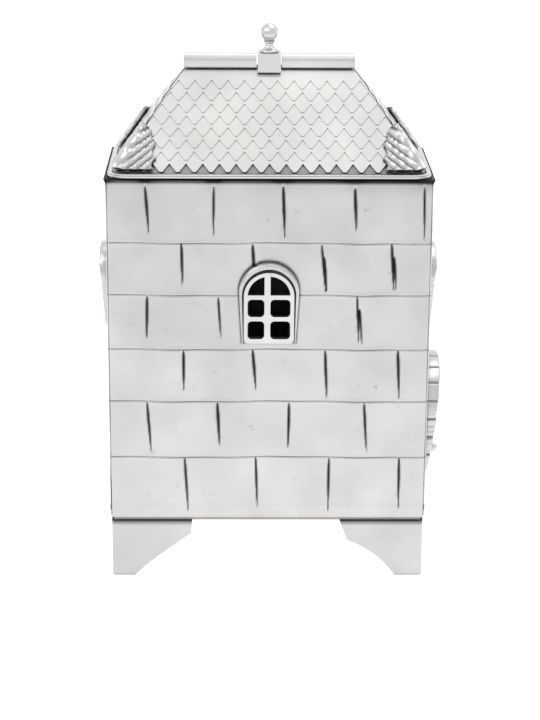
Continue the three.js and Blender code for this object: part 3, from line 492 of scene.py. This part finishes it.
# Painted shadow: the top of the feet, close under the walls' edge, is darkened where the walls' shadow falls.
UNDER_WALL_SHADOW = 0.0016
foot_tree = foot_cast.node_tree
foot_place = add_node(foot_tree, "ShaderNodeTexCoord").outputs["Object"]
foot_high = add_node(foot_tree, "ShaderNodeSeparateXYZ", s_0=foot_place).outputs["Z"]
foot_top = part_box("foot_front_left")[1][2]
feet_top_shadow = add_node(
    foot_tree, "ShaderNodeMapRange",
    s_Value=foot_high, s_1=foot_top - UNDER_WALL_SHADOW, s_2=foot_top, s_3=0.0, s_4=0.8,
).outputs["Result"]
foot_group = next(node for node in foot_tree.nodes if node.type == "GROUP")
closed_in = foot_group.inputs["Recess"].links[0].from_socket
darkest = add_node(
    foot_tree, "ShaderNodeMath", operation="MAXIMUM", s_0=closed_in, s_1=feet_top_shadow
).outputs[0]
foot_tree.links.new(darkest, foot_group.inputs["Recess"])

# The width of each piece's eased edges in millimetres, and its silver. The longest name that fits
# is used.
EASED = {
    "foot_": (0.9, foot_cast),
    "window_grille": (0.3, grille_cast),
    "ridge_tile": (0.2, cast),
    "finial_plinth": (0.3, cast),
    "finial_nut": (0.1, plain),
    "finial": (0, cast),
    "door_knob": (0, cast),
    "door_leaf": (0.2, satin),
    "door_hinge": (0.1, cast),
    "lid_hinge": (0.12, cast),
    "lid_rim": (0.3, satin),
    "lid_bezel": (0.1, plain),
    "rim_band": (0.35, satin),
    "roof_": (0, plain),
    "shingles": (0.1, satin),
    "base_plate": (0.2, plain),
    "top_ledge": (0.2, black_oxide_and_shade),
    "latch": (0.1, plain),
}
NEWLY_MADE = ("wall_", "window_hood", "door_hood", "corner_leaf")
for name, obj in nodes.items():
    if name.startswith(NEWLY_MADE):
        continue
    width, material = EASED[max((start for start in EASED if name.startswith(start)), key=len)]
    obj.data.materials.clear()
    obj.data.materials.append(material)
    if width:
        bevel = obj.modifiers.new("eased edges", "BEVEL")
        bevel.width = width / 1000
        bevel.segments = 3
        bevel.limit_method = "ANGLE"
        bevel.angle_limit = np.radians(35)
        bevel.harden_normals = False


# ---- Studio ----
# A sheet of white paper under the box and a white tent round it, with two soft panels.
floor_mesh = bpy.data.meshes.new("floor")
floor_mesh.from_pydata([(-4, -4, 0), (4, -4, 0), (4, 4, 0), (-4, 4, 0)], [], [(0, 1, 2, 3)])
floor = bpy.data.objects.new("floor", floor_mesh)
bpy.context.scene.collection.objects.link(floor)
paper = bpy.data.materials.new("white paper")
paper.use_nodes = True
paper_tree = paper.node_tree
sheet = paper_tree.nodes["Principled BSDF"].inputs
sheet["Base Color"].default_value = (0.24, 0.24, 0.24, 1)
sheet["Roughness"].default_value = 0.7
sheet["Emission Color"].default_value = (1, 1, 1, 1)
# Painted light: the paper glows by its own emission, most strongly close to the box as if lit there,
# which also lightens the box's shadow on it; the walls' lower courses reflect that.
paper_place = add_node(paper_tree, "ShaderNodeTexCoord").outputs["Object"]
spread = add_node(paper_tree, "ShaderNodeSeparateXYZ", s_0=paper_place).outputs["Y"]
painted_glow = add_node(
    paper_tree, "ShaderNodeMapRange", s_Value=spread, s_1=-0.5, s_2=-0.05, s_3=0.86, s_4=1.12
).outputs["Result"]
paper_tree.links.new(painted_glow, sheet["Emission Strength"])
floor_mesh.materials.append(paper)

world = bpy.data.worlds.new("white tent")
bpy.context.scene.world = world
world.use_nodes = True
tree = world.node_tree
sky = tree.nodes["Background"]
ray = add_node(tree, "ShaderNodeTexCoord").outputs["Generated"]
split = add_node(tree, "ShaderNodeSeparateXYZ", s_0=ray)
ramp = add_node(tree, "ShaderNodeMapRange", s_Value=split.outputs["Y"], s_1=-0.6, s_2=0.5, s_3=0.95, s_4=1.1)
tree.links.new(ramp.outputs["Result"], sky.inputs["Color"])

# The panels are aimed at the middle of the box.
LIT_POINT = Vector((0, 0, 0.08))
for label, spot, size, power in (
    ("key_panel", (-0.45, -0.45, 0.75), 0.6, 1.4),
    ("top_panel", (0.25, 0.1, 0.9), 0.7, 1.4),
):
    lamp = bpy.data.lights.new(label, "AREA")
    lamp.size = size
    lamp.energy = power
    light = bpy.data.objects.new(label, lamp)
    light.location = spot
    aim = Vector(spot) - LIT_POINT
    light.rotation_euler = aim.to_track_quat("Z", "Y").to_euler()
    bpy.context.scene.collection.objects.link(light)

# A long lens from slightly above, almost square to the front.
CAMERA_PLACE = (-0.01065, -0.6573, 0.2732)
pitch, yaw, roll = np.radians([17.6, 0.91, 0.38])
forward = np.array([np.sin(yaw) * np.cos(pitch), np.cos(yaw) * np.cos(pitch), -np.sin(pitch)])
across = np.array([np.cos(yaw), -np.sin(yaw), 0])
up = np.cross(across, forward)
x_axis = np.cos(roll) * across + np.sin(roll) * up
y_axis = -np.sin(roll) * across + np.cos(roll) * up
camera_data = bpy.data.cameras.new("camera")
camera_data.sensor_fit = "VERTICAL"
camera_data.sensor_height = 36
camera_data.lens = 106.7
camera_data.clip_start = 0.05
camera = bpy.data.objects.new("camera", camera_data)
spin = np.eye(4)
spin[:3, 0], spin[:3, 1], spin[:3, 2] = x_axis, y_axis, -forward
spin[:3, 3] = CAMERA_PLACE
camera.matrix_world = Matrix(spin.tolist())
bpy.context.scene.collection.objects.link(camera)
bpy.context.scene.camera = camera
bpy.context.scene.view_settings.view_transform = "Standard"
